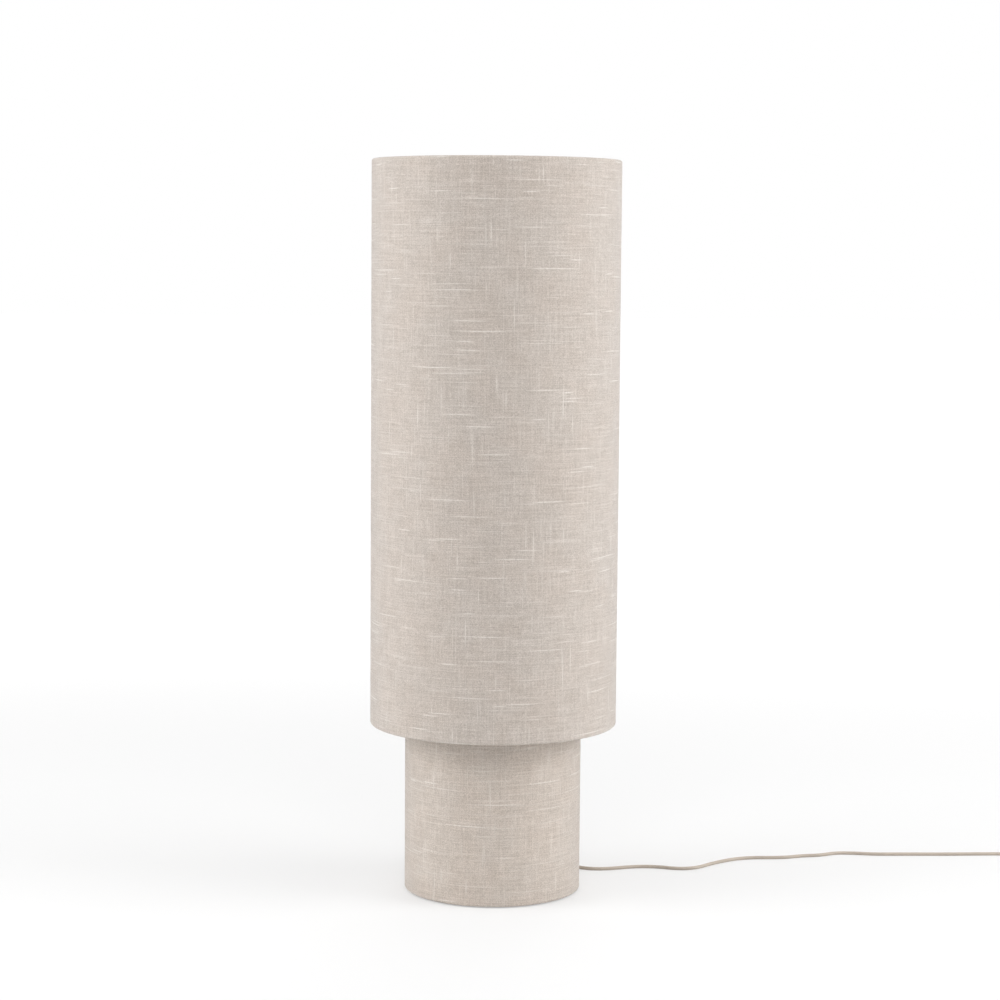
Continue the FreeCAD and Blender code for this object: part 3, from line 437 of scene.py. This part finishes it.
def make_finishes():
    """The material of each of the record's slots, apart from the linen."""
    white = srgb(236, 234, 229)
    return {
        "liner_film": smooth_film("liner_film", srgb(233, 231, 226), roughness=0.45),
        "white_wire": powder_coat("white_wire", srgb(216, 215, 211), grain=900.0, roughness=0.4),
        "felt": felt("felt", srgb(44, 43, 42)),
        "base_paint": powder_coat("base_paint", srgb(52, 52, 53), grain=1400.0, roughness=0.55),
        "column_paint": powder_coat("column_paint", srgb(208, 206, 201), grain=1100.0, roughness=0.38),
        "zinc_steel": metal("zinc_steel", srgb(196, 198, 202), roughness=0.36, stretch=(900, 900, 160)),
        "finial_steel": metal("finial_steel", srgb(204, 199, 191),
                              roughness=0.28, stretch=(260, 260, 2200)),
        "holder_plastic": plastic("holder_plastic", srgb(219, 215, 206),
                                  grain=700.0, relief=0.02 * MM, roughness=0.3),
        "ceramic_insert": ceramic("ceramic_insert", srgb(240, 238, 232)),
        "contact_brass": metal("contact_brass", srgb(214, 180, 110),
                               roughness=0.3, stretch=(300, 300, 1500)),
        "bulb_cap_metal": metal("bulb_cap_metal", srgb(214, 214, 213),
                                roughness=0.24, stretch=(300, 300, 1200)),
        "bulb_body_plastic": plastic("bulb_body_plastic", srgb(222, 222, 220),
                                     grain=800.0, relief=0.02 * MM, roughness=0.35),
        "frosted_dome": frosted("frosted_dome", srgb(238, 236, 231)),
        "lead_sleeve": plastic("lead_sleeve", white, grain=600.0, relief=0.02 * MM, roughness=0.4),
        "block_plastic": plastic("block_plastic", white, grain=800.0, relief=0.03 * MM, roughness=0.45),
        "clip_plastic": plastic("clip_plastic", srgb(228, 226, 220),
                                grain=800.0, relief=0.03 * MM, roughness=0.45),
        "cord_pvc": plastic("cord_pvc", srgb(189, 177, 164),
                            grain=1200.0, relief=0.02 * MM, roughness=0.5),
        "moulded_pvc": plastic("moulded_pvc", srgb(190, 178, 165),
                               grain=1100.0, relief=0.03 * MM, roughness=0.48),
        "switch_plastic": plastic("switch_plastic", srgb(192, 181, 168),
                                  grain=1000.0, relief=0.05 * MM, roughness=0.42),
        "button_plastic": plastic("button_plastic", srgb(170, 159, 147),
                                  grain=1300.0, relief=0.06 * MM, roughness=0.38),
        "pin_nickel": metal("pin_nickel", srgb(220, 218, 212), roughness=0.18, stretch=(500, 120, 500)),
    }


sharp_angle = 32                 # degrees


def dress_nodes(finishes):
    """Gives the CAD nodes their materials, smooth but for edges sharper than sharp_angle."""
    slot_of = {part["node"]: part["material_slot"] for part in frame["record"]["subparts"]}
    for name, node in frame["nodes"].items():
        if slot_of[name] in finishes:
            node.data.materials.clear()
            node.data.materials.append(finishes[slot_of[name]])
            node.data.polygons.foreach_set("use_smooth", [True] * len(node.data.polygons))
            node.data.set_sharp_from_angle(angle=math.radians(sharp_angle))


# ---------------------------------------------------------------- linen covers
columns = 360                    # of faces, once round
column_step = 2 * math.pi / columns
lap_columns = 4                  # by which the sheet's end lies over its start
rise_columns = 3                 # in which it climbs onto it
lap_rise = 0.9 * MM
seam_angle = 102.5               # degrees round the column, at the back
roll_angle = 270                 # degrees that the edges go round the rings
notch_from = 135                 # where in that roll the cloth is notched at the spokes
hem_steps = 14                   # rows round each ring
hem_rows = 4                     # low rows beside each ring
hem_row_height = 5 * MM
wall_row_height = 16 * MM
wave_height = 0.10 * MM
waves_round = 4
waves_up = 9
pucker_height = 0.12 * MM
pucker_reach = 14 * MM           # from each edge
puckers_round = 18
puckers_up = 20
pucker_shift = 5                 # keeps the puckers apart from the waves in the noise


def cover_outline(radius, bottom, top):
    """The sheet from its inner edge at the bottom ring, up the wall, to its inner edge at the top
    ring: for each row the radius and height of the ring it bends round, and its angle there, which
    is 0 all the way up the wall."""
    low = bottom + hem_radius
    high = top - hem_radius
    ring = radius - hem_radius
    hem = hem_rows * hem_row_height
    wall = high - low - 2 * hem
    wall_rows = round(wall / wall_row_height)
    rows = [(ring, low, -roll_angle + roll_angle * k / hem_steps) for k in range(hem_steps)]
    rows += [(ring, low + hem_row_height * k, 0) for k in range(hem_rows)]
    rows += [(ring, low + hem + wall * k / wall_rows, 0) for k in range(wall_rows)]
    rows += [(ring, high - hem_row_height * (hem_rows - k), 0) for k in range(hem_rows)]
    rows += [(ring, high, roll_angle * k / hem_steps) for k in range(hem_steps + 1)]
    return rows


def unevenness(turn, angle, height, bottom, top):
    """How far the cloth stands off its frame: soft waves on the wall, small puckers near the hems."""
    across = Vector((math.sin(turn), math.cos(turn), 0))
    wave = noise.noise(across * waves_round + Vector((0, 0, waves_up * height))) * wave_height
    near_hem = max(0.0, 1 - min(height - bottom, top - height) / pucker_reach)
    pucker_place = across * puckers_round + Vector((0, 0, pucker_shift + puckers_up * height))
    pucker = noise.noise(pucker_place) * pucker_height * near_hem
    return wave + pucker if angle == 0 else pucker


def cover_points(outline, bottom, top):
    """The sheet's points, column by column, from its start under the lap to its end on top of it."""
    points = []
    for k in range(columns + lap_columns + 1):
        turn = math.radians(seam_angle) + k * column_step
        over = min(1.0, max(0.0, (k - columns + rise_columns) / rise_columns))
        lift = lap_rise * over * over * (3 - 2 * over)
        for ring, height, angle in outline:
            bend = math.radians(angle)
            reach = hem_radius + lift + unevenness(turn, angle, height, bottom, top)
            across = ring + reach * math.cos(bend)
            up = height + reach * math.sin(bend)
            points.append((across * math.cos(turn), across * math.sin(turn), up))
    return points


def cover_faces(outline):
    """The sheet's faces, without those where a spoke goes through the rolled top edge."""
    rows = len(outline)
    notches = {round((angle - seam_angle) % 360 / math.degrees(column_step)) for angle in spoke_angles}
    faces = []
    for k in range(columns + lap_columns):
        beside_spoke = k % columns in notches or (k + 1) % columns in notches
        for row in range(rows - 1):
            in_roll = row >= rows - 1 - hem_steps and outline[row + 1][2] > notch_from
            if not (beside_spoke and in_roll):
                first = k * rows + row
                faces.append((first, first + rows, first + rows + 1, first + 1))
    return faces


def linen_cover(node, body, radius, material):
    """One sheet wound round the frame, its start under its end, its edges rolled round the rings."""
    low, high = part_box(node)
    outline = cover_outline(radius, low.z, high.z)
    name = node.replace("_cover", "_linen")
    points = cover_points(outline, low.z, high.z)
    cover = add_sheet(name, points, cover_faces(outline), material, cloth, offset=-1, even=True)
    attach(cover, body)
    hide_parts(node)


# ---------------------------------------------------------------- cords
relief_height = 0.018            # at which the cord leaves the drum
switch_port = 0.007              # at which it enters and leaves the foot switch
plug_port = 0.00685              # at which it enters the plug
switch_x = 0.815

near_points = [
    (0, 0.157, relief_height),
    (0, 0.174, relief_height),
    (0.009, 0.196, 0.011),
    (0.033, 0.210, lay),
    (0.064, 0.203, lay),
    (0.084, 0.171, lay),
    (0.103, 0.119, lay),
    (0.147, 0.088, lay),
    (0.219, 0.118, lay),
    (0.281, 0.092, lay),
    (0.325, 0.142, lay),
    (0.367, 0.170, lay),
    (0.423, 0.170, lay),
    (0.452, 0.183, lay),
    (0.480, 0.187, lay),
    (0.504, 0.203, lay),
    (0.535, 0.201, lay),
    (0.560, 0.196, lay),
    (0.604, 0.198, lay),
    (0.665, 0.199, lay),
    (0.722, 0.203, lay),
    (0.764, 0.204, lay),
    (0.792, 0.200, lay),
    (0.810, 0.182, lay),
    (switch_x, 0.162, 0.0045),
    (switch_x, 0.154, switch_port),
    (switch_x, 0.145, switch_port),
]

coil_y = -12 * MM
coil_outer_radius = 36.8 * MM    # to the cord's centre in the outermost turn
coil_pitch = 5.35 * MM           # from one turn to the next, and from layer to layer
coil_half_turns = 6              # in each layer
coil_steps = 8                   # points in a half turn
plug_x = switch_x + 2 * coil_outer_radius
coil_end = coil_y + cord_diameter        # up to which the coil's two ends run straight
upper_layer = lay + coil_pitch

far_start = [
    (switch_x, 0.031, switch_port),
    (switch_x, 0.021, switch_port),
    (switch_x, 0.009, 0.0036),
    (switch_x, -0.001, lay),
    (switch_x, coil_end, lay),
]
far_finish = [
    (plug_x, coil_end, upper_layer),
    (plug_x, coil_y + 0.014, upper_layer),
    (plug_x + 0.001, coil_y + 0.030, 0.0036),
    (plug_x + 0.002, coil_y + 0.048, lay),
    (plug_x + 0.001, coil_y + 0.064, 0.0040),
    (plug_x, coil_y + 0.076, plug_port),
    (plug_x, coil_y + 0.086, plug_port),
]


def coil_points():
    """Half turns that draw in on the floor, climb a layer, and widen out again on top. The points
    stand a little further out than the turns, because the curve passes inside its points."""
    points = []
    edge = switch_x
    height = lay
    step = math.pi / coil_steps
    for count in range(2 * coil_half_turns + 1):
        drawn_in = min(count, 2 * coil_half_turns - count)
        radius = coil_outer_radius - drawn_in * coil_pitch / 2
        way = 1 if count % 2 == 0 else -1
        climb = coil_pitch if count == coil_half_turns else 0.0
        centre = edge + way * radius
        reach = radius / math.cos(step / 2)
        for k in range(coil_steps):
            turn = (k + 0.5) * step
            x = centre - way * reach * math.cos(turn)
            y = coil_y - way * reach * math.sin(turn)
            points.append((x, y, height + climb * (k + 0.5) / coil_steps))
        edge += 2 * way * radius
        height += climb
    return points


def cord_curve(name, points, material):
    """A round cord along points, through the middle of each run between two of them."""
    data = bpy.data.curves.new(name, "CURVE")
    data.dimensions = "3D"
    data.bevel_depth = cord_diameter / 2
    data.bevel_resolution = 6
    data.resolution_u = 10
    data.use_fill_caps = True
    data.materials.append(material)
    spline = data.splines.new("NURBS")
    spline.points.add(len(points) - 1)
    for point, place in zip(spline.points, points):
        point.co = (*place, 1.0)
    spline.order_u = 3
    spline.use_endpoint_u = True
    curve = add_object(name, data)
    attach(curve, "stand")
    return curve


tie_width = 9 * MM
tie_strip = 0.6 * MM             # its thickness
tie_corner = 3 * MM
tie_overlap = 10 * MM
tie_end_lift = 1.4 * tie_strip   # of its free end, over its start
corner_steps = 6


def tie_outline():
    """The strap's path round the wound turns, as (distance from the coil's centre, height): a
    rounded rectangle from the middle of its top, all the way round and on over its own start."""
    inner = coil_outer_radius - coil_half_turns * coil_pitch / 2 - lay - tie_strip
    outer = coil_outer_radius + lay + tie_strip
    middle = (inner + outer) / 2
    low = tie_strip
    high = upper_layer + lay + tie_strip / 2
    corners = [(outer, high, 90), (outer, low, 0), (inner, low, -90), (inner, high, -180)]
    path = [(middle, high)]
    for across, height, start in corners:
        centre_across = across + math.copysign(tie_corner, middle - across)
        centre_height = height + math.copysign(tie_corner, (low + high) / 2 - height)
        for k in range(corner_steps + 1):
            turn = math.radians(start - 90 * k / corner_steps)
            along = centre_across + tie_corner * math.cos(turn)
            path.append((along, centre_height + tie_corner * math.sin(turn)))
    path.append((middle - tie_corner, high + tie_strip))
    path.append((middle + tie_overlap / 2, high + tie_end_lift))
    return path


def coil_tie(material):
    """A flat strap round all the turns, at the front of the coil."""
    centre = switch_x + coil_outer_radius
    path = tie_outline()
    points = []
    for across, height in path:
        for side in (-tie_width / 2, 0, tie_width / 2):
            points.append((centre + side, coil_y - across, height))
    faces = []
    for k in range(len(path) - 1):
        for side in range(2):
            first = 3 * k + side
            faces.append((first, first + 1, first + 4, first + 3))
    tie = add_sheet("coil_tie", points, faces, material, tie_strip, offset=0, even=False)
    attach(tie, "stand")
    return tie


def make_cords(finishes):
    nodes = frame["nodes"]
    near = cord_curve("cord_to_switch", near_points, finishes["cord_pvc"])
    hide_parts("cord_near")

    far = cord_curve("cord_to_plug", far_start + coil_points() + far_finish, finishes["cord_pvc"])
    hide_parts("cord_middle", "cord_coil", "cord_tail")
    plug = [nodes[n] for n in ("plug_boot", "plug_body", "plug_pins")]
    plug.append(coil_tie(felt("tie_strap", srgb(96, 90, 84))))


# ---------------------------------------------------------------- floor, light and world
floor_size = 60
floor_tone = 0.86
floor_glow = 0.42                # of the floor round the lamp, as the camera sees it, where 1 is white
shadow_reach = 0.6               # up to which it keeps the shadow in full
white_reach = 2.4                # from which it is white
world_fill = 0.26


def plain_floor():
    """A pale floor that the camera sees as white, with the object's shadow on it."""
    finish = Finish("floor", Roughness=0.9, Specular_IOR_Level=0.1)
    rays = finish.add("LightPath").outputs
    mirrored = finish.math("MAXIMUM", rays["Is Glossy Ray"], rays["Is Transmission Ray"])
    seen = finish.math("MAXIMUM", rays["Is Camera Ray"], mirrored)
    distance = finish.add("VectorMath", {0: finish.place()}, operation="LENGTH").outputs["Value"]
    glow = finish.spread(distance, shadow_reach, white_reach, floor_glow, 1.0)
    whitened = finish.math("MULTIPLY", seen, glow)
    pale = (floor_tone, floor_tone, floor_tone, 1.0)
    finish.colour(finish.mix(whitened, pale, (0.0, 0.0, 0.0, 1.0)))
    finish.feed(finish.shader.inputs["Emission Color"], (1.0, 1.0, 1.0, 1.0))
    finish.feed(finish.shader.inputs["Emission Strength"], whitened)
    bpy.ops.mesh.primitive_plane_add(size=floor_size, location=(0, 0, 0))
    floor = bpy.context.object
    floor.name = "floor"
    floor.data.materials.append(finish.material)


def make_world():
    """White where it is seen, directly or in gloss and glass, and a dim fill as light."""
    world = bpy.data.worlds.new("world")
    world.use_nodes = True
    tree = world.node_tree
    background = tree.nodes["Background"]
    background.inputs["Color"].default_value = (1.0, 1.0, 1.0, 1.0)
    rays = tree.nodes.new("ShaderNodeLightPath").outputs
    seen = rays["Is Camera Ray"]
    for kind in ("Is Glossy Ray", "Is Transmission Ray"):
        either = tree.nodes.new("ShaderNodeMath")
        either.operation = "MAXIMUM"
        tree.links.new(seen, either.inputs[0])
        tree.links.new(rays[kind], either.inputs[1])
        seen = either.outputs[0]
    strength = tree.nodes.new("ShaderNodeMapRange")
    tree.links.new(seen, strength.inputs["Value"])
    strength.inputs["To Min"].default_value = world_fill
    strength.inputs["To Max"].default_value = 1.0
    tree.links.new(strength.outputs["Result"], background.inputs["Strength"])
    bpy.context.scene.world = world


def soft_box(name, place, target, width, height, power):
    data = bpy.data.lights.new(name, "AREA")
    data.shape = "RECTANGLE"
    data.size = width
    data.size_y = height
    data.energy = power
    lamp = add_object(name, data)
    lamp.location = place
    lamp.rotation_euler = (Vector(target) - Vector(place)).to_track_quat("-Z", "Y").to_euler()


def make_lights():
    middle = (0, 0, 0.5)
    soft_box("left_box", (-2.4, -0.55, 1.25), middle, width=1.6, height=1.6, power=40)
    soft_box("right_box", (2.4, -0.55, 1.25), middle, width=1.6, height=1.6, power=43)
    soft_box("back_box", (0.3, 2.6, 1.4), middle, width=2.4, height=2.0, power=22)
    soft_box("front_box", (0, -3.4, 2.9), middle, width=2.0, height=1.4, power=25)
    soft_box("top_box", (0, -0.5, 3.0), (0, 0, 0), width=2.4, height=2.4, power=30)


# ---------------------------------------------------------------- the whole scene
bpy.context.scene.view_settings.view_transform = "Standard"
finishes = make_finishes()
dress_nodes(finishes)
make_camera()
make_cords(finishes)
linen_cover("shade_cover", "shade", shade_radius, linen("shade_linen", shade_radius, shade_tint))
linen_cover("drum_cover", "stand", drum_radius, linen("drum_linen", drum_radius, drum_painted_light))
plain_floor()
make_world()
make_lights()
